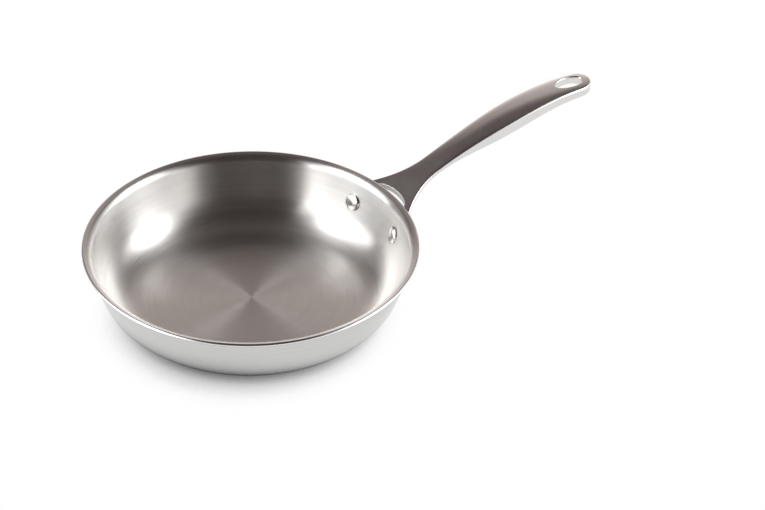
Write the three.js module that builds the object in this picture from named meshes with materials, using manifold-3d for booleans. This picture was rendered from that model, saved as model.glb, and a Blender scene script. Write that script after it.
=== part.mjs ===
import * as THREE from "three";
import { mergeVertices } from "three/addons/utils/BufferGeometryUtils.js";
import Module from "manifold-3d";

// A frying pan pressed from three bonded sheets of metal, with a cast fork handle held by two rivets.
// Millimetres, +Z up. The origin is the middle of the base on its resting face, with the handle along +X.

const degree = Math.PI / 180;

// Pan body, measured on its outside face
const rimRadius = 125.2;
const panHeight = 53;
const wallRun = 44;
const cornerRadius = 34;
const wallRadius = 152;
const lipRadius = 6;
const lipAngle = 12 * degree;

// Sheet thicknesses, from the outside in, and the bond between two sheets
const outerSkinThickness = 0.5;
const coreThickness = 1.5;
const innerSkinThickness = 0.5;
const bondGap = 0.05;

// Rivets: place on the wall, shank, domed head inside the pan and upset tail outside
const rivetSpacing = 54.6;
const rivetHeight = 33;
const shankRadius = 3.2;
const headRadius = 6.6;
const headHeight = 2.6;
const headEdge = 0.5;
const tailRadius = 5.2;
const tailHeight = 1.8;
const fitGap = 0.3;

// Handle: how far its tip reaches past the rim and rises above it, and the bow of its top edge line
const handleReach = 193.3;
const tipRise = 38;
const forkReach = 6.3;
const forkDrop = 2.9;
const bowFromFork = 119.5;
const bowForkRise = 42.9;
const bowFromTip = 35.2;
const bowTipRise = 38.7;

// Handle in plan: where the neck and the swell lie past the rim, half widths, and the rounded tip
const neckReach = 40.8;
const swellReach = 124.8;
const tipRound = 15.5;
const forkHalfWidth = 22.4;
const neckHalfWidth = 10.4;
const swellHalfWidth = 13.5;
const tipHalfWidth = 12.9;

// Handle in section: depth of the side faces, crown of the top and belly of the underside
const forkDepth = 4.5;
const neckDepth = 2.6;
const swellDepth = 7.8;
const tipDepth = 5;
const crown = 1.6;
const belly = 2.6;

// Oval hanging hole near the tip, and the arch between the two prongs
const holeHalfLength = 12.6;
const holeHalfWidth = 6.4;
const holeMargin = 6;
const holeFullness = 0.1;
const archGap = 7.7;
const archSpread = 2;

// Prongs that lead from the fork down to the rivet pads
const prongWidth = 8.4;
const prongThickness = 4.5;
const padWidth = 19;
const padThickness = 4;
const padTail = 10;
const prongBevel = 0.9;
const prongOverlap = 12;

// Fineness of the round shapes
const aroundSteps = 48;
const cornerSteps = 5;
const wallSteps = 3;
const lipSteps = 3;
const handleSteps = 22;
const tipSteps = 6;
const crossSteps = 4;
const ovalSteps = 24;
const rivetSteps = 16;
const prongSteps = 9;
const padSteps = 4;
const roundSweep = 84 * degree;
const halvings = 40;

// How far a cutter runs past what it cuts
const overrun = 10;

// Places along a prong's path, which has four equal stretches: the fork's mouth and the rivet
const mouthPlace = 1 / 4;
const padCentrePlace = 3 / 4;

const sheetThickness = outerSkinThickness + coreThickness + innerSkinThickness + 2 * bondGap;

const wasm = await Module();
wasm.setup();

// Turns a closed geometry into a solid that can be joined and cut
function toSolid(geometry) {
  const bare = geometry.clone();
  bare.deleteAttribute("normal");
  bare.deleteAttribute("uv");
  const merged = mergeVertices(bare, 1e-4);
  const corners = merged.index.array;
  const triangles = [];
  for (let i = 0; i < corners.length; i += 3) {
    const [a, b, c] = [corners[i], corners[i + 1], corners[i + 2]];
    if (a !== b && b !== c && c !== a) {
      triangles.push(a, b, c);
    }
  }
  const mesh = new wasm.Mesh({
    numProp: 3,
    vertProperties: new Float32Array(merged.attributes.position.array),
    triVerts: new Uint32Array(triangles),
  });
  return new wasm.Manifold(mesh);
}

function toGeometry(solid) {
  const mesh = solid.getMesh();
  const geometry = new THREE.BufferGeometry();
  geometry.setAttribute("position", new THREE.BufferAttribute(mesh.vertProperties, 3));
  geometry.setIndex(new THREE.BufferAttribute(mesh.triVerts, 1));
  geometry.computeVertexNormals();
  return geometry;
}

// A closed solid turned about the Z axis from points of radius and height
function turned(points, steps) {
  return new THREE.LatheGeometry(points, steps).rotateX(Math.PI / 2);
}

// A closed skin over a row of rings with equal point counts, with flat ends
function loft(rings) {
  const count = rings[0].length;
  const points = rings.flat();
  const triangles = [];
  for (let r = 0; r + 1 < rings.length; r += 1) {
    for (let k = 0; k < count; k += 1) {
      const a = r * count + k;
      const b = r * count + ((k + 1) % count);
      triangles.push(a, b, a + count, b, b + count, a + count);
    }
  }
  const last = (rings.length - 1) * count;
  for (let k = 1; k + 1 < count; k += 1) {
    triangles.push(0, k + 1, k);
    triangles.push(last, last + k, last + k + 1);
  }
  const geometry = new THREE.BufferGeometry().setFromPoints(points);
  geometry.setIndex(triangles);
  return geometry;
}

// An outline in plan, drawn up from one height to another
function upright(shape, low, high) {
  const depth = high - low;
  return new THREE.ExtrudeGeometry(shape, { depth, bevelEnabled: false }).translate(0, 0, low);
}

// Blends two values with level ends, for t from 0 to 1
function ease(from, to, t) {
  return THREE.MathUtils.lerp(from, to, THREE.MathUtils.smoothstep(t, 0, 1));
}

// Pan wall: a flat base, then corner, wall and lip arcs that meet in line with each other.
// The wall arc runs on from the corner arc and turns over into the lip arc, so its centre lies a known
// distance from both their centres. The corner is limited so that it always leaves room for the lip.
const baseRadius = rimRadius - wallRun;
const cornerFillet = Math.min(cornerRadius, wallRun - lipRadius);
const corner = new THREE.Vector2(baseRadius, cornerFillet);
const lipEnd = new THREE.Vector2(rimRadius, panHeight - sheetThickness * Math.cos(lipAngle));
const lipSide = new THREE.Vector2(Math.sin(lipAngle), -Math.cos(lipAngle));
const lip = lipEnd.clone().addScaledVector(lipSide, lipRadius);
const between = lip.clone().sub(corner);
const cornerReach = wallRadius - cornerFillet;
const lipReach = wallRadius + lipRadius;
const spanLength = between.length();
const along = (cornerReach ** 2 - lipReach ** 2 + spanLength ** 2) / (2 * spanLength);
const across = Math.sqrt(cornerReach ** 2 - along ** 2);
const spanUnit = between.clone().normalize();
const wall = new THREE.Vector2(-spanUnit.y, spanUnit.x).multiplyScalar(across);
wall.add(corner).addScaledVector(spanUnit, along);
const cornerEnd = Math.atan2(corner.x - wall.x, wall.y - corner.y);
const wallEnd = Math.atan2(lip.x - wall.x, wall.y - lip.y);

// Points of an arc about a centre, where angle is the wall's slope from level and side its bulge
function arcPoints(centre, radius, from, to, steps, side) {
  const points = [];
  for (let i = 1; i <= steps; i += 1) {
    const angle = from + ((to - from) * i) / steps;
    const offset = new THREE.Vector2(Math.sin(angle), -Math.cos(angle)).multiplyScalar(side * radius);
    points.push(centre.clone().add(offset));
  }
  return points;
}

// The sheet's line at a given depth in from the outside face, from the axis to the lip
function sheetLine(depth) {
  return [
    new THREE.Vector2(0, depth),
    new THREE.Vector2(baseRadius, depth),
    ...arcPoints(corner, cornerFillet - depth, 0, cornerEnd, cornerSteps, 1),
    ...arcPoints(wall, wallRadius - depth, cornerEnd, wallEnd, wallSteps, 1),
    ...arcPoints(lip, lipRadius + depth, wallEnd, lipAngle, lipSteps, -1),
  ];
}

function sheet(depth, thickness) {
  const outline = [...sheetLine(depth), ...sheetLine(depth + thickness).reverse()];
  return toSolid(turned(outline, aroundSteps));
}

// Rivet place: the wall's slope from level at the rivets' height, and the radius there
const wallSlope = Math.acos((wall.y - rivetHeight) / wallRadius);
const wallRadiusAtRivet = wall.x + wallRadius * Math.sin(wallSlope);
const rivetAzimuth = Math.asin(rivetSpacing / 2 / wallRadiusAtRivet);

// A frame on the wall at one rivet: Z square out of the wall, X down the wall and Y along the rim
function rivetFrame(side) {
  const azimuth = side * rivetAzimuth;
  const frame = new THREE.Group();
  frame.position.set(
    wallRadiusAtRivet * Math.cos(azimuth),
    wallRadiusAtRivet * Math.sin(azimuth),
    rivetHeight,
  );
  frame.rotation.set(0, Math.PI - wallSlope, azimuth, "ZYX");
  frame.updateMatrixWorld(true);
  return frame;
}

// The heights of the rivet's shoulders along its own axis, with the outside wall face at zero
const headSag = headRadius ** 2 / (2 * (wallRadiusAtRivet - sheetThickness));
const headSeat = -sheetThickness - headSag - fitGap;
const tailSeat = padThickness + fitGap;

function rivetGeometry() {
  const dome = [];
  for (let i = 0; i <= rivetSteps / 4; i += 1) {
    const angle = (i / (rivetSteps / 4)) * (Math.PI / 2);
    const rise = (headHeight - headEdge) * Math.cos(angle);
    dome.push(new THREE.Vector2(headRadius * Math.sin(angle), headSeat - headEdge - rise));
  }
  const outline = [
    ...dome,
    new THREE.Vector2(headRadius, headSeat),
    new THREE.Vector2(shankRadius, headSeat),
    new THREE.Vector2(shankRadius, tailSeat),
    new THREE.Vector2(tailRadius, tailSeat),
    new THREE.Vector2(tailRadius, tailSeat + tailHeight / 2),
    new THREE.Vector2(tailRadius - tailHeight / 2, tailSeat + tailHeight),
    new THREE.Vector2(0, tailSeat + tailHeight),
  ];
  return turned(outline, rivetSteps);
}

// A round cutter about a rivet's axis, between two heights along it
function rivetCutter(side, shaftRadius, low, high) {
  const radius = (shaftRadius + fitGap) / Math.cos(Math.PI / rivetSteps);
  const cutter = new THREE.CylinderGeometry(radius, radius, high - low, rivetSteps).rotateX(Math.PI / 2);
  cutter.translate(0, 0, (low + high) / 2).applyMatrix4(rivetFrame(side).matrixWorld);
  return toSolid(cutter);
}

// The hole that the shank passes through, and the flat that the tail is upset against
function rivetBore(side) {
  return rivetCutter(side, shankRadius, headSeat - headHeight, tailSeat + tailHeight);
}

function tailFlat(side) {
  return rivetCutter(side, tailRadius, padThickness, tailSeat + tailHeight + overrun);
}

// The handle's lines: its top edge rises along one curve, and its width and depth blend between stations
const forkX = rimRadius + forkReach;
const neckX = rimRadius + neckReach;
const swellX = rimRadius + swellReach;
const tipX = rimRadius + handleReach;
const tipStartX = tipX - tipRound;
const topLine = new THREE.CubicBezierCurve(
  new THREE.Vector2(forkX, panHeight - forkDrop),
  new THREE.Vector2(forkX + bowFromFork, panHeight + bowForkRise),
  new THREE.Vector2(tipX - bowFromTip, panHeight + bowTipRise),
  new THREE.Vector2(tipX, panHeight + tipRise),
);

// The top edge's height at a distance along X, found by halving the curve
function topHeight(x) {
  let low = 0;
  let high = 1;
  for (let i = 0; i < halvings; i += 1) {
    const middle = (low + high) / 2;
    if (topLine.getPoint(middle).x < x) {
      low = middle;
    } else {
      high = middle;
    }
  }
  return topLine.getPoint(low).y;
}

function halfWidth(x) {
  if (x < neckX) {
    const flare = (neckX - x) / (neckX - forkX);
    return neckHalfWidth + (forkHalfWidth - neckHalfWidth) * flare ** 2;
  }
  if (x < swellX) {
    return ease(neckHalfWidth, swellHalfWidth, (x - neckX) / (swellX - neckX));
  }
  const width = ease(swellHalfWidth, tipHalfWidth, (x - swellX) / (tipStartX - swellX));
  const past = Math.max(0, x - tipStartX) / tipRound;
  return width * Math.sqrt(Math.max(0, 1 - past ** 2));
}

function sideDepth(x) {
  if (x < neckX) {
    return ease(forkDepth, neckDepth, (x - forkX) / (neckX - forkX));
  }
  if (x < swellX) {
    return ease(neckDepth, swellDepth, (x - neckX) / (swellX - neckX));
  }
  return ease(swellDepth, tipDepth, (x - swellX) / (tipStartX - swellX));
}

// One section across the handle: the crowned top from one edge to the other, then the belly back
function handleSection(x) {
  const width = halfWidth(x);
  const edge = topHeight(x);
  const share = width / swellHalfWidth;
  const top = [];
  const under = [];
  for (let i = 0; i <= crossSteps; i += 1) {
    const place = 1 - (2 * i) / crossSteps;
    const arch = Math.min(1, share) * (1 - place ** 2);
    top.push(new THREE.Vector3(x, width * place, edge + crown * arch));
    under.push(new THREE.Vector3(x, -width * place, edge - sideDepth(x) - belly * arch));
  }
  return [...top, ...under];
}

function handleBar() {
  const places = [];
  for (let i = 0; i < handleSteps; i += 1) {
    places.push(THREE.MathUtils.lerp(forkX, tipStartX, i / handleSteps));
  }
  for (let i = 0; i <= tipSteps; i += 1) {
    places.push(tipStartX + tipRound * Math.sin((roundSweep * i) / tipSteps));
  }
  return toSolid(loft(places.map(handleSection)));
}

// The hanging hole is an oval that is a little fuller towards the tip
const holeX = tipX - holeMargin - holeHalfLength;

function hangingHole() {
  const outline = [];
  for (let i = 0; i < ovalSteps; i += 1) {
    const angle = (i / ovalSteps) * 2 * Math.PI;
    const fuller = 1 + holeFullness * Math.cos(angle);
    const y = holeHalfWidth * fuller * Math.sin(angle);
    outline.push(new THREE.Vector2(holeX + holeHalfLength * Math.cos(angle), y));
  }
  const low = topHeight(holeX) - sideDepth(holeX) - belly - overrun;
  const high = topHeight(holeX) + crown + overrun;
  return toSolid(upright(new THREE.Shape(outline), low, high));
}

// The arch between the prongs is a squarish oval centred on the rim
function archCutter() {
  const archHalfWidth = forkHalfWidth - prongWidth + archSpread;
  const outline = [];
  for (let i = 0; i < ovalSteps; i += 1) {
    const angle = (i / ovalSteps) * 2 * Math.PI;
    const c = Math.cos(angle);
    const s = Math.sin(angle);
    const x = rimRadius + archGap * Math.sign(c) * Math.sqrt(Math.abs(c));
    const y = archHalfWidth * Math.sign(s) * Math.sqrt(Math.abs(s));
    outline.push(new THREE.Vector2(x, y));
  }
  return toSolid(upright(new THREE.Shape(outline), 0, topHeight(forkX) + crown + overrun));
}

// The half width of a prong along its path, from the fork to the rounded end of its rivet pad
function prongHalfWidth(t) {
  const spread = ease(prongWidth, padWidth, (t - mouthPlace) / (padCentrePlace - mouthPlace)) / 2;
  const past = Math.max(0, t - padCentrePlace) / (1 - padCentrePlace);
  return spread * Math.sqrt(Math.max(0, 1 - past ** 2));
}

// One section across a prong: a flat bar with its four corners taken off
function prongSection(path, t, rootAcross, padAcross) {
  const middle = path.getPoint(t);
  const travel = path.getTangent(t);
  const across = rootAcross.clone().lerp(padAcross, Math.min(1, t / padCentrePlace));
  across.addScaledVector(travel, -across.dot(travel)).normalize();
  const up = travel.clone().cross(across);
  const w = prongHalfWidth(t);
  const h = ease(prongThickness, padThickness, t / padCentrePlace) / 2;
  const bevel = Math.min(prongBevel, w / 2);
  const corners = [
    [w - bevel, -h],
    [w, bevel - h],
    [w, h - bevel],
    [w - bevel, h],
    [bevel - w, h],
    [-w, h - bevel],
    [-w, bevel - h],
    [bevel - w, -h],
  ];
  return corners.map(([u, v]) => middle.clone().addScaledVector(across, u).addScaledVector(up, v));
}

// A prong leaves the fork, swings outwards and down, and lies along the wall as a rivet pad.
// It is drawn on the +Y side and mirrored for the other.
function prong(side) {
  const frame = rivetFrame(1).matrixWorld;
  const onPad = (down) => new THREE.Vector3(down, 0, padThickness / 2).applyMatrix4(frame);
  const barPoint = (x) => {
    const middle = topHeight(x) - sideDepth(x) / 2;
    return new THREE.Vector3(x, halfWidth(x) - prongWidth / 2, middle);
  };
  const root = barPoint(forkX + prongOverlap);
  const mouth = barPoint(forkX);
  const path = new THREE.CatmullRomCurve3([root, mouth, onPad(-padTail), onPad(0), onPad(padTail)]);
  const rootAcross = new THREE.Vector3(mouth.y - root.y, root.x - mouth.x, 0).normalize();
  const padAcross = new THREE.Vector3(0, 1, 0).transformDirection(frame);
  const places = [];
  for (let i = 0; i < prongSteps; i += 1) {
    places.push((padCentrePlace * i) / prongSteps);
  }
  for (let i = 0; i <= padSteps; i += 1) {
    places.push(THREE.MathUtils.lerp(padCentrePlace, 1, Math.sin((roundSweep * i) / padSteps)));
  }
  let rings = places.map((t) => prongSection(path, t, rootAcross, padAcross));
  if (side < 0) {
    rings = rings.map((ring) => ring.map((p) => new THREE.Vector3(p.x, -p.y, p.z)).reverse());
  }
  return toSolid(loft(rings));
}

// The room that the pan body takes, grown by the fit gap, which shapes the pads to the wall
function panRoom() {
  const top = panHeight + fitGap;
  const outline = [
    ...sheetLine(-fitGap),
    new THREE.Vector2(rimRadius, top),
    new THREE.Vector2(0, top),
  ];
  return toSolid(turned(outline, aroundSteps));
}

function handleSolid() {
  const joined = handleBar().add(prong(1)).add(prong(-1));
  let cut = joined.subtract(archCutter()).subtract(hangingHole()).subtract(panRoom());
  for (const side of [1, -1]) {
    cut = cut.subtract(rivetBore(side)).subtract(tailFlat(side));
  }
  return cut;
}

// The finished pan
const coreDepth = outerSkinThickness + bondGap;
const innerDepth = coreDepth + coreThickness + bondGap;
const pan = new THREE.Group();

function addPiece(parent, name, geometry, color, roughness) {
  const material = new THREE.MeshStandardMaterial({ color, roughness, metalness: 1 });
  const mesh = new THREE.Mesh(geometry, material);
  mesh.name = name;
  parent.add(mesh);
}

function drilled(solid) {
  return toGeometry(solid.subtract(rivetBore(1)).subtract(rivetBore(-1)));
}

addPiece(pan, "outer_skin", drilled(sheet(0, outerSkinThickness)), 0xc9c6c2, 0.3);
addPiece(pan, "aluminium_core", drilled(sheet(coreDepth, coreThickness)), 0xd5d6d8, 0.45);
addPiece(pan, "inner_skin", drilled(sheet(innerDepth, innerSkinThickness)), 0xb9b3ad, 0.35);
addPiece(pan, "handle", toGeometry(handleSolid()), 0xa9a29c, 0.25);

for (const [side, name] of [[1, "rivet_left"], [-1, "rivet_right"]]) {
  const frame = rivetFrame(side);
  addPiece(frame, name, rivetGeometry(), 0xcfccc8, 0.2);
  pan.add(frame);
}

export default pan;
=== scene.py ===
import math

import bmesh
import bpy
import numpy as np
import openvdb
from mathutils import Matrix, Vector
from mathutils.geometry import interpolate_bezier


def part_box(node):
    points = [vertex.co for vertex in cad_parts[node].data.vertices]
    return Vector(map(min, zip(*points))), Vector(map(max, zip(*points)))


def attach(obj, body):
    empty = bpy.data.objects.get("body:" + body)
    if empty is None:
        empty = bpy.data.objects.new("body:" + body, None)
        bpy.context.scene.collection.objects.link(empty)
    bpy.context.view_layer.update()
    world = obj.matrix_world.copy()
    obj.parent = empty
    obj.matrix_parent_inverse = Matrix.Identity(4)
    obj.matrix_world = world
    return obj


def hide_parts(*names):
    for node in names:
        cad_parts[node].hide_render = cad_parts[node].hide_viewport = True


# A deep frying pan: three bonded sheets of metal, a cast fork handle and two rivets.
# Metres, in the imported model's frame: the base stands at the origin and the handle runs along +X.

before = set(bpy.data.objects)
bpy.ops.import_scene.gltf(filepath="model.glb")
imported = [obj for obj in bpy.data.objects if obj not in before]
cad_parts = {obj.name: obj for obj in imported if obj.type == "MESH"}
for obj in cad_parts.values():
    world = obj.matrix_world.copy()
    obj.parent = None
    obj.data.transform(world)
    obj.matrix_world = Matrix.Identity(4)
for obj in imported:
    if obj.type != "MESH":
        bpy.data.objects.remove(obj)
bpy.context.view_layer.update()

mm = 0.001
degree = math.pi / 180

# Sizes read off the frame
rim_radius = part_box("outer_skin")[1][0]
pan_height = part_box("inner_skin")[1][2]
tip_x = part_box("handle")[1][0]

# Pan body, on its outside face. The guide lip isn't built: it only places the wall. The lip itself is
# flat, with a small bend below it and a round nose that stands a little past the frame's rim.
wall_run = 44 * mm
corner_radius = 34 * mm
wall_radius = 152 * mm
guide_lip_radius = 7 * mm
guide_lip_angle = 12 * degree
lip_angle = 16 * degree
bend_radius = 4 * mm
nose_overhang = 0.3 * mm

# Sheets from the outside in, and the bond between two sheets
skin_thickness = 0.5 * mm
core_thickness = 1.5 * mm
bond_gap = 0.05 * mm

# Rivets
rivet_spacing = 54.6 * mm
rivet_height = 31.8 * mm
shank_radius = 3.2 * mm
head_radius = 6.8 * mm
head_height = 2.6 * mm
head_edge = 0.4 * mm
tail_radius = 5.2 * mm
tail_height = 1.8 * mm
bore_gap = 0.1 * mm
drill_length = 20 * mm

# Handle: the bow of its top edge line, from the fork to the tip
fork_reach = 6.3 * mm
fork_drop = 2.9 * mm
bow_from_fork = 109.7 * mm
bow_fork_rise = 43.4 * mm
bow_from_tip = 26 * mm
bow_tip_rise = 39.2 * mm
tip_rise = 37.2 * mm

# Handle in plan
neck_reach = 40.8 * mm
swell_reach = 124.8 * mm
tip_round = 15.5 * mm
fork_half_width = 22.4 * mm
neck_half_width = 10.3 * mm
swell_half_width = 13.4 * mm
tip_half_width = 12.9 * mm

# Handle in section
fork_depth = 4.2 * mm
neck_depth = 4.1 * mm
deepest = 9.8 * mm
deepest_reach = 105 * mm
tip_depth = 7.4 * mm
crown = 1.6 * mm
tip_crown = 1.3 * mm
crowned_reach = 75 * mm
belly = 2.6 * mm
tip_hollow = 2.9 * mm
fork_roundness = 0.1
shoulder = 0.6 * mm
shoulder_power = 5
top_edge_round = 1.2 * mm
under_edge_round = 1.4 * mm

# Hanging hole, and the arch between the prongs
hole_half_length = 12.6 * mm
hole_half_width = 6.4 * mm
hole_margin = 7 * mm
hole_fullness = 0.1
hole_edge_round = 0.9 * mm
arch_gap = 7 * mm
arch_half_width = 18.8 * mm
arch_spread = 2 * mm
arch_edge_round = 0.3 * mm
arch_under_round = 0.9 * mm

# Prongs, which run on under the lip, and the legs and rivet pads that lie along the wall
prong_width = 6.9 * mm
prong_run_on = 16 * mm
prong_hidden_reach = 4 * mm
leg_width = 11 * mm
leg_height = 11.5 * mm
pad_radius = 9.6 * mm
pad_thickness = 4 * mm
pad_edge_round = 1.2 * mm
pad_gap = 0.15 * mm
wall_edge_round = 0.6 * mm
fork_fillet = 4 * mm
pad_fillet = 6 * mm

# Fineness
around_steps = 192
floor_steps = 8
corner_steps = 18
wall_steps = 16
bend_steps = 14
flat_steps = 4
nose_steps = 6
rivet_steps = 64
top_line_steps = 400
handle_cell = 0.46 * mm
field_margin = 3 * handle_cell
surface_steps = 4
gradient_step = 0.01 * mm
least_square_slope = 0.1
tiny = 1e-9
sharp_angle = 35 * degree

# Camera, solved from the rim and the base line of the photograph
photo_width = 765
focal_pixels = 2400
sensor_width = 36
camera_place = Vector((-775.57, -1240.72, 1080.29)) * mm
view_azimuth = 35.85 * degree
view_pitch = 35.36 * degree
view_roll = 1.40 * degree


def ease(start, end, t):
    """Blends two values with level ends, for t from 0 to 1."""
    t = np.clip(t, 0, 1)
    return start + (end - start) * t * t * (3 - 2 * t)


# Pan wall: a flat base, then a corner arc, the wall's arc and a small bend that run into each other,
# and a flat lip with a round nose.
# An angle here is the wall's slope from level, a place is its radius and height, and corner, wall,
# bend and nose are the middles of their arcs.

sheet_thickness = 2 * skin_thickness + core_thickness + 2 * bond_gap
base_radius = rim_radius - wall_run
nose_radius = sheet_thickness / 2


def slope_side(angle):
    """The way square out of a wall with this slope."""
    return np.array([math.sin(angle), -math.cos(angle)])


# The wall's arc touches the arcs of the corner and of the guide lip
corner = np.array([base_radius, corner_radius])
guide_lip_end = np.array([rim_radius, pan_height - sheet_thickness * math.cos(guide_lip_angle)])
span = guide_lip_end + guide_lip_radius * slope_side(guide_lip_angle) - corner
corner_reach = wall_radius - corner_radius
guide_lip_reach = wall_radius + guide_lip_radius
span_length = np.hypot(*span)
span_unit = span / span_length
span_along = (corner_reach**2 - guide_lip_reach**2 + span_length**2) / (2 * span_length)
span_across = math.sqrt(corner_reach**2 - span_along**2)
wall = corner + span_along * span_unit + span_across * np.array([-span_unit[1], span_unit[0]])
corner_end = math.atan2(corner[0] - wall[0], wall[1] - corner[1])

# The lip: its nose, and the bend that touches both the wall and the lip's flat
lip_side = slope_side(lip_angle)
lip_along = np.array([math.cos(lip_angle), math.sin(lip_angle)])
nose_tip_radius = rim_radius + nose_overhang
nose = np.array([nose_tip_radius - nose_radius * math.cos(lip_angle), pan_height - nose_radius])
lip_end = nose + nose_radius * lip_side
from_wall = lip_end + bend_radius * lip_side - wall
past_bend = from_wall @ lip_along
bend_square = from_wall @ from_wall - (wall_radius + bend_radius) ** 2
lip_flat = past_bend - math.sqrt(past_bend**2 - bend_square)
bend = lip_end + bend_radius * lip_side - lip_flat * lip_along
wall_end = math.atan2(bend[0] - wall[0], wall[1] - bend[1])


def nose_turn(depth):
    """How far round the nose a depth into the sheet lies, from its middle."""
    return math.asin(np.clip(depth / nose_radius - 1, -1, 1))


def nose_point(turn):
    return nose + nose_radius * (math.cos(turn) * lip_along - math.sin(turn) * lip_side)


def sheet_line(depth):
    """The sheet's line at a depth in from the outside face, from the axis to the lip."""
    points = [np.array([r, depth]) for r in np.linspace(0, base_radius, floor_steps + 1)]
    for angle in np.linspace(0, corner_end, corner_steps + 1)[1:]:
        points.append(corner + (corner_radius - depth) * slope_side(angle))
    for angle in np.linspace(corner_end, wall_end, wall_steps + 1)[1:]:
        points.append(wall + (wall_radius - depth) * slope_side(angle))
    for angle in np.linspace(wall_end, lip_angle, bend_steps + 1)[1:]:
        points.append(bend - (bend_radius + depth) * slope_side(angle))
    flat_start = points[-1]
    flat_end = nose_point(nose_turn(depth))
    for share in np.linspace(0, 1, flat_steps + 1)[1:]:
        points.append(flat_start + share * (flat_end - flat_start))
    return points


def sheet_outline(depth, thickness):
    """Out along one face, over its part of the nose and back along the other face."""
    turns = np.linspace(nose_turn(depth), nose_turn(depth + thickness), nose_steps + 1)[1:-1]
    edge = [nose_point(turn) for turn in turns]
    return sheet_line(depth) + edge + sheet_line(depth + thickness)[::-1]


def either(a, b, radius):
    """Distance to two forms joined with a fillet."""
    corner_part = np.hypot(np.maximum(radius - a, 0), np.maximum(radius - b, 0))
    return np.maximum(np.minimum(a, b), radius) - corner_part


def wall_distance(r, z):
    """How far a place lies outside the pan's outer face."""
    slope = np.arctan2(r - wall[0], wall[1] - z)
    off_corner = np.hypot(r - corner[0], z - corner[1]) - corner_radius
    off_wall = np.hypot(r - wall[0], z - wall[1]) - wall_radius
    off_lip = (r - lip_end[0]) * lip_side[0] + (z - lip_end[1]) * lip_side[1]
    return np.where(slope < corner_end, off_corner, either(off_wall, off_lip, bend_radius))


# Rivet places

wall_slope = math.acos((wall[1] - rivet_height) / wall_radius)
rivet_wall_radius = wall[0] + wall_radius * math.sin(wall_slope)
rivet_azimuth = math.asin(rivet_spacing / 2 / rivet_wall_radius)


def rivet_frame(side):
    """A frame on the wall at one rivet: Z square out of the wall, X down it, Y along the rim."""
    azimuth = side * rivet_azimuth
    x = rivet_wall_radius * math.cos(azimuth)
    y = rivet_wall_radius * math.sin(azimuth)
    turn = Matrix.Rotation(azimuth, 4, "Z") @ Matrix.Rotation(math.pi - wall_slope, 4, "Y")
    return Matrix.Translation((x, y, rivet_height)) @ turn


# Meshes


def new_piece(name, vertices, faces, material):
    mesh = bpy.data.meshes.new(name)
    mesh.from_pydata([tuple(v) for v in vertices], [], faces)
    mesh.polygons.foreach_set("use_smooth", [True] * len(mesh.polygons))
    mesh.materials.append(material)
    mesh.update()
    piece = bpy.data.objects.new(name, mesh)
    bpy.context.scene.collection.objects.link(piece)
    return piece


def turned(outline, steps):
    """Vertices and faces of an outline turned about Z, which starts and ends on the axis."""
    vertices = []
    rings = []
    angles = [2 * math.pi * k / steps for k in range(steps)]
    for r, z in outline:
        start = len(vertices)
        if r == 0:
            vertices.append((0, 0, z))
        else:
            vertices.extend((r * math.cos(a), r * math.sin(a), z) for a in angles)
        rings.append(range(start, len(vertices)))
    faces = []
    for low, high in zip(rings, rings[1:]):
        for k in range(steps):
            n = k + 1
            corners = [low[k % len(low)], low[n % len(low)], high[n % len(high)], high[k % len(high)]]
            faces.append(list(dict.fromkeys(corners)))
    return vertices, faces


def drill(piece, frames, radius):
    """Cuts a round hole through a piece along Z of each frame."""
    for place in frames:
        bpy.ops.mesh.primitive_cylinder_add(vertices=rivet_steps, radius=radius, depth=drill_length)
        cutter = bpy.context.object
        cutter.matrix_world = place
        cut = piece.modifiers.new("bore", "BOOLEAN")
        cut.object = cutter
        cut.operation = "DIFFERENCE"
        cut.solver = "MANIFOLD"
        bpy.context.view_layer.update()
        shown = piece.evaluated_get(bpy.context.evaluated_depsgraph_get())
        mesh = bpy.data.meshes.new_from_object(shown)
        piece.modifiers.remove(cut)
        piece.data = mesh
        bpy.data.objects.remove(cutter)


def stand_for(piece, node):
    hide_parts(node)
    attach(piece, "root")


def sheet_piece(node, material, depth, thickness):
    """One of the bonded sheets, with its two rivet holes."""
    outline = sheet_outline(depth, thickness)
    piece = new_piece(node + "_fine", *turned(outline, around_steps), material)
    drill(piece, [rivet_frame(1), rivet_frame(-1)], shank_radius + bore_gap)
    piece.data.set_sharp_from_angle(angle=sharp_angle)
    stand_for(piece, node)


def rivet_piece(node, material, side):
    """A domed head that sits on the inside wall, a shank, and a tail upset on the pad."""
    sag = head_radius**2 / (2 * (rivet_wall_radius - sheet_thickness))
    head_seat = -sheet_thickness - sag
    quarter = np.linspace(0, math.pi / 2, rivet_steps // 4)
    outline = []
    for angle in quarter:
        rise = (head_height - head_edge) * math.cos(angle)
        outline.append((head_radius * math.sin(angle), head_seat - head_edge - rise))
    outline.append((head_radius, head_seat))
    outline.append((shank_radius, head_seat))
    outline.append((shank_radius, pad_thickness))
    outline.append((tail_radius, pad_thickness))
    for angle in quarter:
        shrink = tail_height * (1 - math.cos(angle))
        outline.append((tail_radius - shrink, pad_thickness + tail_height * math.sin(angle)))
    outline.append((0, pad_thickness + tail_height))
    vertices, faces = turned(outline, rivet_steps)
    place = rivet_frame(side)
    piece = new_piece(node + "_fine", [place @ Vector(v) for v in vertices], faces, material)
    piece.data.set_sharp_from_angle(angle=sharp_angle)
    stand_for(piece, node)


# Handle, as the zero level of a distance field, so that every edge and junction is rounded

fork_x = rim_radius + fork_reach
neck_x = rim_radius + neck_reach
swell_x = rim_radius + swell_reach
deepest_x = rim_radius + deepest_reach
crowned_x = rim_radius + crowned_reach
tip_start_x = tip_x - tip_round
hole_x = tip_x - hole_margin - hole_half_length


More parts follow.
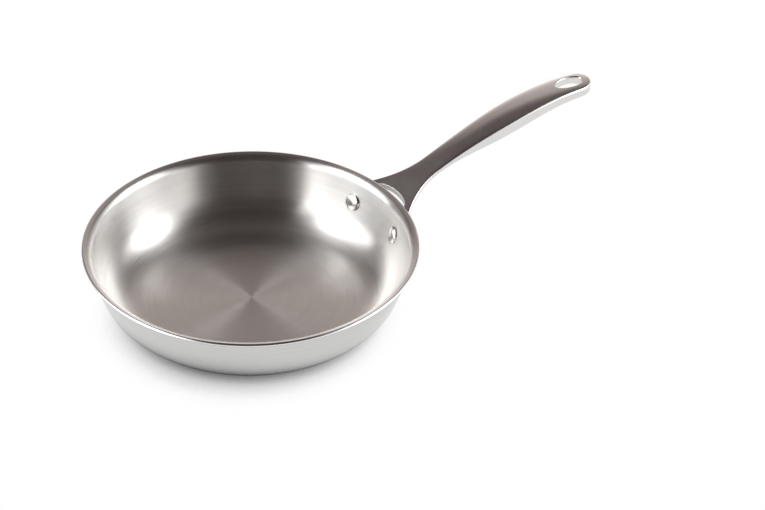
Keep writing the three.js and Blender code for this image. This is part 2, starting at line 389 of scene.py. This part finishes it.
def top_line():
    """The top edge's X places and heights: straight under the lip, then along one bowed curve."""
    start = Vector((fork_x, 0, pan_height - fork_drop))
    start_pull = Vector((fork_x + bow_from_fork, 0, pan_height + bow_fork_rise))
    end_pull = Vector((tip_x - bow_from_tip, 0, pan_height + bow_tip_rise))
    end = Vector((tip_x, 0, pan_height + tip_rise))
    run_on = (start - start_pull).normalized() * prong_run_on
    points = [start + run_on] + interpolate_bezier(start, start_pull, end_pull, end, top_line_steps)
    return np.array([p.x for p in points]), np.array([p.z for p in points])


station_x, station_top = top_line()
station_rise = np.gradient(station_top, station_x)

# The prongs stop widening where the lip hides them
widest_flare = (neck_reach + prong_hidden_reach) / (neck_reach - fork_reach)


def fork_flare(x):
    """How far the fork has opened, from 0 at the neck to 1 at the start of the top edge's curve."""
    return np.clip((neck_x - x) / (neck_x - fork_x), 0, widest_flare)


def half_width(x):
    """Half the handle's width in plan, before the round of the tip."""
    fork = neck_half_width + (fork_half_width - neck_half_width) * fork_flare(x) ** 2
    grip = ease(neck_half_width, swell_half_width, (x - neck_x) / (swell_x - neck_x))
    end = ease(swell_half_width, tip_half_width, (x - swell_x) / (tip_start_x - swell_x))
    return np.where(x < neck_x, fork, np.where(x < swell_x, grip, end))


def side_depth(x):
    """How far the handle's sides reach down from the top edge line."""
    fork = ease(fork_depth, neck_depth, (x - fork_x) / (neck_x - fork_x))
    grip = ease(neck_depth, deepest, (x - neck_x) / (deepest_x - neck_x))
    end = ease(deepest, tip_depth, (x - deepest_x) / (tip_start_x - deepest_x))
    return np.where(x < neck_x, fork, np.where(x < deepest_x, grip, end))


def both(a, b, radius):
    """Distance to the overlap of two forms, with the edge between them rounded."""
    corner_part = np.hypot(np.maximum(a + radius, 0), np.maximum(b + radius, 0))
    return np.minimum(np.maximum(a, b), -radius) + corner_part


def ellipse_distance(u, v, half_u, half_v):
    """Distance to an ellipse, which is true close to its edge."""
    scaled = np.hypot(u / half_u, v / half_v)
    gradient = np.hypot(u / half_u**2, v / half_v**2)
    return scaled * (scaled - 1) / np.maximum(gradient, tiny)


def bar_distance(x, y, z):
    """The bar from the flat fork to the tip, with a crowned top, a belly and a hollow under its hole."""
    width = half_width(x)
    spread = 2 * (fork_half_width - neck_half_width) * fork_flare(x) / (neck_x - fork_x)
    top = np.interp(x, station_x, station_top)
    rise = np.interp(x, station_x, station_rise)
    roundness = ease(fork_roundness, 1, (x - fork_x) / (crowned_x - fork_x))
    roundness = roundness * np.minimum(1, width / swell_half_width)
    arch = roundness * (1 - (y / width) ** 2)
    brow = roundness * (1 - np.minimum(y / width, 1) ** shoulder_power)
    side = (y - width) / np.hypot(1, spread)
    end = ellipse_distance(x - tip_start_x, y, tip_round, tip_half_width)
    plan = np.where(x < tip_start_x, side, end)
    peak = ease(crown, tip_crown, (x - crowned_x) / (tip_start_x - crowned_x))
    over = (z - top - peak * arch - shoulder * brow) / np.hypot(1, rise)
    to_end = np.clip((x - tip_start_x) / tip_round, 0, 1)
    hollow = ease(belly, -tip_hollow, (x - deepest_x) / (hole_x - hole_half_length - deepest_x))
    under = (top - side_depth(x) - hollow * (1 - to_end**2) * arch - z) / np.hypot(1, rise)
    return both(both(plan, over, top_edge_round), under, under_edge_round)


def leg_distance(r, azimuth, z):
    """A leg that lies along the wall under the prong and widens into a round rivet pad."""
    slope = np.arctan2(r - wall[0], wall[1] - z)
    down = (wall_slope - slope) * wall_radius
    along = np.abs(azimuth - rivet_azimuth) * rivet_wall_radius
    disc = np.hypot(down, along) - pad_radius
    strip = np.maximum(along - leg_width / 2, np.abs(down + leg_height / 2) - leg_height / 2)
    slab = wall_distance(r, z) - pad_thickness
    return both(either(disc, strip, pad_fillet), slab, pad_edge_round)


def arch_distance(x, y):
    """The gap between the prongs: an oval centred on the rim, which spreads on under the lip."""
    oval = ellipse_distance(x - rim_radius, y, arch_gap, arch_half_width)
    between = np.maximum(y - half_width(x) + prong_width + arch_spread, x - rim_radius)
    return either(oval, between, arch_spread)


def hole_distance(x, y):
    """An oval that is a little fuller towards the tip."""
    u = x - hole_x
    fuller = 1 + hole_fullness * np.clip(u / hole_half_length, -1, 1)
    return ellipse_distance(u, y, hole_half_length, hole_half_width * fuller)


def bore_distance(points):
    """Distance to the shank's bore on the +Y side."""
    into = np.array(rivet_frame(1).inverted())
    local = points @ into[:3, :3].T + into[:3, 3]
    return np.hypot(local[:, 0], local[:, 1]) - shank_radius - bore_gap


# The prongs, legs and pads are worked out up to the first place, and the hanging hole from the second
fork_limit_x = fork_x + prong_run_on
hole_limit_x = tip_start_x - 2 * hole_half_length


def handle_distance(points):
    """Signed distance to the handle, which is the same on both sides of Y."""
    folded = points.copy()
    folded[:, 1] = np.abs(folded[:, 1])
    x, y, z = folded.T
    form = bar_distance(x, y, z)
    near = x < fork_limit_x
    if near.any():
        close = folded[near]
        along, across, height = close.T
        r = np.hypot(along, across)
        over_base = height - np.interp(along, station_x, station_top) + fork_depth
        edge_round = ease(arch_under_round, arch_edge_round, over_base / fork_depth)
        prongs = both(form[near], -arch_distance(along, across), edge_round)
        leg = leg_distance(r, np.arctan2(across, along), height)
        joined = either(prongs, leg, fork_fillet)
        pan = np.maximum(wall_distance(r, height), np.maximum(r - nose_tip_radius, height - pan_height))
        joined = both(joined, pad_gap - pan, wall_edge_round)
        form[near] = np.maximum(joined, -bore_distance(close))
    far = x > hole_limit_x
    form[far] = both(form[far], -hole_distance(x[far], y[far]), hole_edge_round)
    return form


def field_gradient(points):
    """How fast the handle's distance grows along each axis."""
    rows = []
    for axis in np.eye(3):
        step = gradient_step * axis
        rows.append(handle_distance(points + step) - handle_distance(points - step))
    return np.stack(rows, axis=1) / (2 * gradient_step)


def handle_piece(material):
    """Fills a grid with the field, draws its surface and moves every vertex onto the zero level."""
    low, high = (np.array(end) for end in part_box("handle"))
    low = low - field_margin
    counts = np.ceil((high + field_margin - low) / handle_cell).astype(int) + 1
    y = low[1] + handle_cell * np.arange(counts[1])
    z = low[2] + handle_cell * np.arange(counts[2])
    slice_y, slice_z = (places.ravel() for places in np.meshgrid(y, z, indexing="ij"))
    field = np.empty(counts, np.float32)
    for i in range(counts[0]):
        slice_x = np.full(slice_y.shape, low[0] + handle_cell * i)
        values = handle_distance(np.stack([slice_x, slice_y, slice_z], axis=1))
        field[i] = values.reshape(counts[1], counts[2])
    grid = openvdb.FloatGrid(1.0)
    grid.copyFromArray(field / handle_cell)
    corners, quads = grid.convertToQuads(isovalue=0.0)
    vertices = low + handle_cell * corners.astype(float)
    for _ in range(surface_steps):
        slope = field_gradient(vertices)
        square = np.maximum(np.einsum("ij,ij->i", slope, slope), least_square_slope)
        move = np.clip(handle_distance(vertices) / square, -handle_cell / 2, handle_cell / 2)
        vertices -= move[:, None] * slope
    piece = new_piece("handle_fine", vertices, quads.tolist(), material)
    shape = bmesh.new()
    shape.from_mesh(piece.data)
    bmesh.ops.recalc_face_normals(shape, faces=shape.faces)
    shape.to_mesh(piece.data)
    shape.free()
    stand_for(piece, "handle")


# Materials


class Nodes:
    """Short calls for a shader's nodes. An input is a value or another node's output."""

    def __init__(self, tree):
        self.tree = tree
        self.tree.nodes.clear()

    def add(self, kind, inputs=(), **settings):
        node = self.tree.nodes.new(kind)
        for key, value in settings.items():
            setattr(node, key, value)
        for key, value in dict(inputs).items():
            self.feed(node.inputs[key], value)
        return node

    def feed(self, socket, value):
        if isinstance(value, bpy.types.NodeSocket):
            self.tree.links.new(value, socket)
        else:
            socket.default_value = value

    def math(self, operation, *values):
        node = self.add("ShaderNodeMath", enumerate(values), operation=operation)
        return node.outputs[0]

    def vector_math(self, operation, a, b):
        node = self.add("ShaderNodeVectorMath", {0: a, 1: b}, operation=operation)
        return node.outputs[0]

    def dot(self, a, b):
        node = self.add("ShaderNodeVectorMath", {0: a, 1: b}, operation="DOT_PRODUCT")
        return node.outputs["Value"]

    def length(self, vector):
        return self.math("SQRT", self.dot(vector, vector))

    def blend(self, a, b, share):
        """The first value at this share and the second at the rest."""
        return self.math("ADD", self.math("MULTIPLY", a, share), self.math("MULTIPLY", b, 1 - share))

    def vector(self, x, y, z):
        return self.add("ShaderNodeCombineXYZ", {0: x, 1: y, 2: z}).outputs[0]

    def noise(self, vector, scale, detail):
        node = self.add("ShaderNodeTexNoise", {"Vector": vector, "Scale": scale, "Detail": detail})
        return node.outputs["Fac"]

    def spread(self, value, from_low, from_high, to_low, to_high, smooth=False):
        kind = "SMOOTHSTEP" if smooth else "LINEAR"
        inputs = {"Value": value, 1: from_low, 2: from_high, 3: to_low, 4: to_high}
        return self.add("ShaderNodeMapRange", inputs, interpolation_type=kind).outputs[0]

    def mix(self, share, a, b):
        node = self.add("ShaderNodeMix", {0: share, 6: a, 7: b}, data_type="RGBA")
        return node.outputs[2]


def new_material(name):
    material = bpy.data.materials.new(name)
    material.use_nodes = True
    return material, Nodes(material.node_tree)


# Noise in the metals: the stretch of it that runs from the dark tone to the light one
tone_low = 0.3
tone_high = 0.7

# Brushed metal: how often its marks change around a ring, its fine streaks and broad bands, the circle
# at the middle where the marks get no finer, and the quarter turn that draws highlights across the rings
marks_around = 3.0
streak_scale = 1.0
streak_detail = 4.0
streak_share = 0.6
streak_depth = 0.1 * mm
band_scale = 0.12
band_detail = 2.0
middle_radius = 1 * mm
across_rings = 0.25

# The lip is smoother than the wall: where that starts below the rim, over what height it comes in,
# and the share of the roughness that is left
smooth_lip_depth = 1.8 * mm
smooth_lip_blend = 1 * mm
lip_roughness_share = 0.8

# Polished metal: a grain drawn out along the handle, and clouds
grain_stretch = (60.0, 900.0, 900.0)
grain_scale = 1.0
grain_detail = 3.0
grain_share = 0.5
grain_depth = 0.05 * mm
cloud_scale = 60.0
cloud_detail = 2.0

# The fork's inner face is left as cast, and this fades out close around the arch's oval
arch_roughness = 0.6
arch_fade_start = 1.02
arch_fade_end = 1.06


def grey(level):
    return (level, level, level, 1)


def toned(nodes, tone, dark, light, rough, rough_spread):
    """A colour and a roughness that both follow the marks in the metal."""
    colour = nodes.mix(nodes.spread(tone, tone_low, tone_high, 0.0, 1.0), dark, light)
    roughness = nodes.spread(tone, tone_low, tone_high, rough - rough_spread, rough + rough_spread)
    return colour, roughness


def finish_metal(nodes, colour, roughness, marks, depth, relief, more=()):
    """The metal's shader, with its marks as a faint relief."""
    bump = nodes.add("ShaderNodeBump", {"Strength": relief, "Distance": depth, "Height": marks})
    inputs = {
        "Base Color": colour,
        "Metallic": 1.0,
        "Roughness": roughness,
        "Normal": bump.outputs[0],
        **dict(more),
    }
    shader = nodes.add("ShaderNodeBsdfPrincipled", inputs)
    nodes.add("ShaderNodeOutputMaterial", {"Surface": shader.outputs[0]})


def brushed_metal(name, dark, light, rough, rough_spread, stretch, lines, relief):
    """Metal brushed in rings about Z, with highlights drawn out across the rings."""
    material, nodes = new_material(name)
    place = nodes.add("ShaderNodeTexCoord").outputs["Object"]
    x, y, z = nodes.add("ShaderNodeSeparateXYZ", {0: place}).outputs
    radius = nodes.length(nodes.vector(x, y, 0.0))
    safe_radius = nodes.math("MAXIMUM", radius, middle_radius)
    streak_place = nodes.vector(
        nodes.math("MULTIPLY", nodes.math("ADD", radius, z), lines),
        nodes.math("MULTIPLY", nodes.math("DIVIDE", x, safe_radius), marks_around),
        nodes.math("MULTIPLY", nodes.math("DIVIDE", y, safe_radius), marks_around),
    )
    streaks = nodes.noise(streak_place, streak_scale, streak_detail)
    bands = nodes.noise(streak_place, band_scale, band_detail)
    tone = nodes.blend(streaks, bands, streak_share)
    colour, roughness = toned(nodes, tone, dark, light, rough, rough_spread)
    start = pan_height - smooth_lip_depth
    smoother = nodes.spread(z, start, start + smooth_lip_blend, 1.0, lip_roughness_share, smooth=True)
    roughness = nodes.math("MULTIPLY", roughness, smoother)
    tangent = nodes.add("ShaderNodeTangent", direction_type="RADIAL", axis="Z").outputs[0]
    rings = {"Anisotropic": stretch, "Anisotropic Rotation": across_rings, "Tangent": tangent}
    finish_metal(nodes, colour, roughness, streaks, streak_depth, relief, rings)
    return material


def polished_metal(name, dark, light, rough, rough_spread, relief):
    """Cast or forged steel with a smooth polish, faint clouding and a rough arch in the fork."""
    material, nodes = new_material(name)
    place = nodes.add("ShaderNodeTexCoord").outputs["Object"]
    drawn = nodes.add("ShaderNodeMapping", {"Vector": place, "Scale": grain_stretch}).outputs[0]
    grain = nodes.noise(drawn, grain_scale, grain_detail)
    clouds = nodes.noise(place, cloud_scale, cloud_detail)
    tone = nodes.blend(grain, clouds, grain_share)
    colour, roughness = toned(nodes, tone, dark, light, rough, rough_spread)
    off_rim = nodes.vector_math("SUBTRACT", place, (rim_radius, 0, 0))
    oval = nodes.vector_math("MULTIPLY", off_rim, (1 / arch_gap, 1 / arch_half_width, 0))
    as_cast = nodes.spread(nodes.length(oval), arch_fade_start, arch_fade_end, arch_roughness, 0.0)
    roughness = nodes.math("MAXIMUM", roughness, as_cast)
    finish_metal(nodes, colour, roughness, grain, grain_depth, relief)
    return material


# Directions along the floor, as the camera sees them
view_ahead = Vector((math.sin(view_azimuth), math.cos(view_azimuth), 0))
view_right = Vector((math.cos(view_azimuth), -math.sin(view_azimuth), 0))

# Studio, which the metal mirrors: a dim warm room that gets lighter ahead of the view, a pale wall
# and a light horizon beyond the pan, and soft boxes at both sides
room_behind = (0.053, 0.040, 0.039, 1)
room_ahead = (0.124, 0.102, 0.098, 1)
room_turn_start = -0.2
room_turn_end = 0.4
beyond_colour = (1.0, 0.895, 0.845, 1)
horizon_colour = (1.0, 0.97, 0.955, 1)


def studio_room():
    """The studio around the pan. Places are degrees to the right of the view and up from level."""
    world = bpy.data.worlds.new("studio")
    bpy.context.scene.world = world
    world.use_nodes = True
    nodes = Nodes(world.node_tree)
    direction = nodes.add("ShaderNodeTexCoord").outputs["Generated"]
    height = nodes.add("ShaderNodeSeparateXYZ", {0: direction}).outputs[2]
    ahead = nodes.dot(direction, tuple(view_ahead))
    azimuth = nodes.math("ARCTAN2", nodes.dot(direction, tuple(view_right)), ahead)
    elevation = nodes.math("ARCSINE", height)

    def within(value, limit, blur):
        return nodes.spread(value, (limit - blur) * degree, (limit + blur) * degree, 1.0, 0.0, smooth=True)

    def soft_box(centre, reach, blur, top, top_blur, level):
        """A light that stands on the horizon, with soft sides and a soft top."""
        off = nodes.math("ABSOLUTE", nodes.math("SUBTRACT", azimuth, centre * degree))
        share = nodes.math("MULTIPLY", within(off, reach, blur), within(elevation, top, top_blur))
        return nodes.math("MULTIPLY", share, level)

    def box_middle(centre, up, size, level):
        """The bright round middle of a box, which fades out on all sides."""
        off = nodes.math("SUBTRACT", azimuth, centre * degree)
        above = nodes.math("SUBTRACT", elevation, up * degree)
        square = nodes.math("ADD", nodes.math("MULTIPLY", off, off), nodes.math("MULTIPLY", above, above))
        fade = nodes.math("DIVIDE", square, -2 * (size * degree) ** 2)
        return nodes.math("MULTIPLY", nodes.math("EXPONENT", fade), level)

    room_share = nodes.spread(ahead, room_turn_start, room_turn_end, 0.0, 1.0, smooth=True)
    room = nodes.mix(room_share, room_behind, room_ahead)
    beyond = soft_box(centre=0, reach=22, blur=17, top=46, top_blur=4, level=0.42)
    haze = soft_box(centre=0, reach=36, blur=14, top=23, top_blur=10, level=0.42)
    line = soft_box(centre=0, reach=22, blur=17, top=8, top_blur=5, level=0.9)
    horizon = nodes.math("ADD", haze, line)
    boxes = soft_box(centre=-109, reach=34, blur=3, top=34, top_blur=25, level=3.15)
    for box in (
        soft_box(centre=-80, reach=32, blur=6, top=58.5, top_blur=8, level=0.3),
        soft_box(centre=87.4, reach=43, blur=23.5, top=21, top_blur=21, level=1.58),
        soft_box(centre=89.6, reach=28.6, blur=14.3, top=44.8, top_blur=8, level=0.92),
        box_middle(centre=-101.4, up=41.3, size=9.6, level=7.1),
        box_middle(centre=86.3, up=29.6, size=9.9, level=8.0),
    ):
        boxes = nodes.math("ADD", boxes, box)
    light = nodes.add("ShaderNodeBackground", {"Color": room}).outputs[0]
    for colour, strength in ((beyond_colour, beyond), (horizon_colour, horizon), (grey(1), boxes)):
        part = nodes.add("ShaderNodeBackground", {"Color": colour, "Strength": strength}).outputs[0]
        light = nodes.add("ShaderNodeAddShader", {0: light, 1: part}).outputs[0]
    nodes.add("ShaderNodeOutputWorld", {"Surface": light})


# Floor: its white glow falls off with the share of the sky that the pan leaves open within a distance,
# which paints the pan's shadow into the glow. This sky leans ahead and to the right. The metal mirrors
# the floor darker, between two such shares: a painted shade in its reflections.
sky_lean_ahead = 20 * degree
sky_lean_right = 6 * degree
sky_distance = 0.6
sky_samples = 16
floor_exposure = 2.55
floor_shoulder = 0.2
mirror_dark = 0.12
mirror_light = 0.47
mirror_least = 0.03
floor_paint = 0.85
floor_reach = 12


def pale_floor():
    """A wide pale floor that glows white where it is seen, also in the metal, with a painted shadow close
    under the pan.
    """
    material, nodes = new_material("pale_floor")
    path = nodes.add("ShaderNodeLightPath").outputs
    seen = nodes.math("MAXIMUM", path["Is Camera Ray"], path["Is Glossy Ray"])
    seen = nodes.math("MAXIMUM", seen, path["Is Transmission Ray"])
    lean = math.tan(sky_lean_ahead) * view_ahead + math.tan(sky_lean_right) * view_right
    lean = nodes.vector(*(lean + Vector((0, 0, 1))).normalized())
    inputs = {"Distance": sky_distance, "Normal": lean}
    sky = nodes.add("ShaderNodeAmbientOcclusion", inputs, samples=sky_samples).outputs["AO"]
    # Painted shadow: the glow seen straight on darkens where the pan hides the sky
    seen_glow_painted_shadow = nodes.math("SMOOTH_MIN", nodes.math("MULTIPLY", sky, floor_exposure), 1.0, floor_shoulder)
    # Painted shade: the metal sees the floor's glow darker, from a steeper curve of the same share
    mirrored_glow_painted_shade = nodes.spread(sky, mirror_dark, mirror_light, mirror_least, 1.0, smooth=True)
    strength = nodes.add("ShaderNodeMix", {0: path["Is Glossy Ray"], 2: seen_glow_painted_shadow, 3: mirrored_glow_painted_shade}).outputs[0]
    paint = nodes.add("ShaderNodeBsdfDiffuse", {"Color": grey(floor_paint)}).outputs[0]
    glow = nodes.add("ShaderNodeEmission", {"Color": grey(1), "Strength": strength}).outputs[0]
    look = nodes.add("ShaderNodeMixShader", {0: seen, 1: paint, 2: glow})
    nodes.add("ShaderNodeOutputMaterial", {"Surface": look.outputs[0]})
    sides = ((-1, -1), (1, -1), (1, 1), (-1, 1))
    corners = [(floor_reach * x, floor_reach * y, 0) for x, y in sides]
    floor = new_piece("floor", corners, [(0, 1, 2, 3)], material)


def photo_camera():
    data = bpy.data.cameras.new("camera")
    data.sensor_width = sensor_width
    data.lens = focal_pixels * sensor_width / photo_width
    forward = math.cos(view_pitch) * view_ahead - Vector((0, 0, math.sin(view_pitch)))
    level_up = math.sin(view_pitch) * view_ahead + Vector((0, 0, math.cos(view_pitch)))
    right = math.cos(view_roll) * view_right + math.sin(view_roll) * level_up
    up = math.cos(view_roll) * level_up - math.sin(view_roll) * view_right
    turn = Matrix((right, up, -forward)).transposed()
    camera = bpy.data.objects.new("camera", data)
    camera.matrix_world = Matrix.Translation(camera_place) @ turn.to_4x4()
    bpy.context.scene.collection.objects.link(camera)
    bpy.context.scene.camera = camera


# The scene

bpy.context.scene.view_settings.view_transform = "Standard"
photo_camera()
studio_room()
pale_floor()

inside_steel = brushed_metal(
    "inside_steel",
    dark=(0.62, 0.61, 0.595, 1),
    light=(0.72, 0.71, 0.695, 1),
    rough=0.30,
    rough_spread=0.03,
    stretch=0.9,
    lines=1600,
    relief=0.03,
)
outside_steel = brushed_metal(
    "outside_steel",
    dark=(0.57, 0.565, 0.56, 1),
    light=(0.61, 0.605, 0.60, 1),
    rough=0.22,
    rough_spread=0.03,
    stretch=0.5,
    lines=2400,
    relief=0.02,
)
core_aluminium = brushed_metal(
    "core_aluminium",
    dark=(0.74, 0.74, 0.75, 1),
    light=(0.82, 0.82, 0.83, 1),
    rough=0.3,
    rough_spread=0.05,
    stretch=0.5,
    lines=3000,
    relief=0.05,
)
handle_steel = polished_metal(
    "handle_steel",
    dark=(0.69, 0.68, 0.67, 1),
    light=(0.75, 0.74, 0.73, 1),
    rough=0.21,
    rough_spread=0.03,
    relief=0.01,
)
rivet_steel = polished_metal(
    "rivet_steel",
    dark=(0.66, 0.64, 0.63, 1),
    light=(0.72, 0.70, 0.69, 1),
    rough=0.24,
    rough_spread=0.02,
    relief=0.01,
)

core_depth = skin_thickness + bond_gap
inner_depth = core_depth + core_thickness + bond_gap
sheet_piece("outer_skin", outside_steel, 0, skin_thickness)
sheet_piece("aluminium_core", core_aluminium, core_depth, core_thickness)
sheet_piece("inner_skin", inside_steel, inner_depth, skin_thickness)
handle_piece(handle_steel)
rivet_piece("rivet_left", rivet_steel, 1)
rivet_piece("rivet_right", rivet_steel, -1)
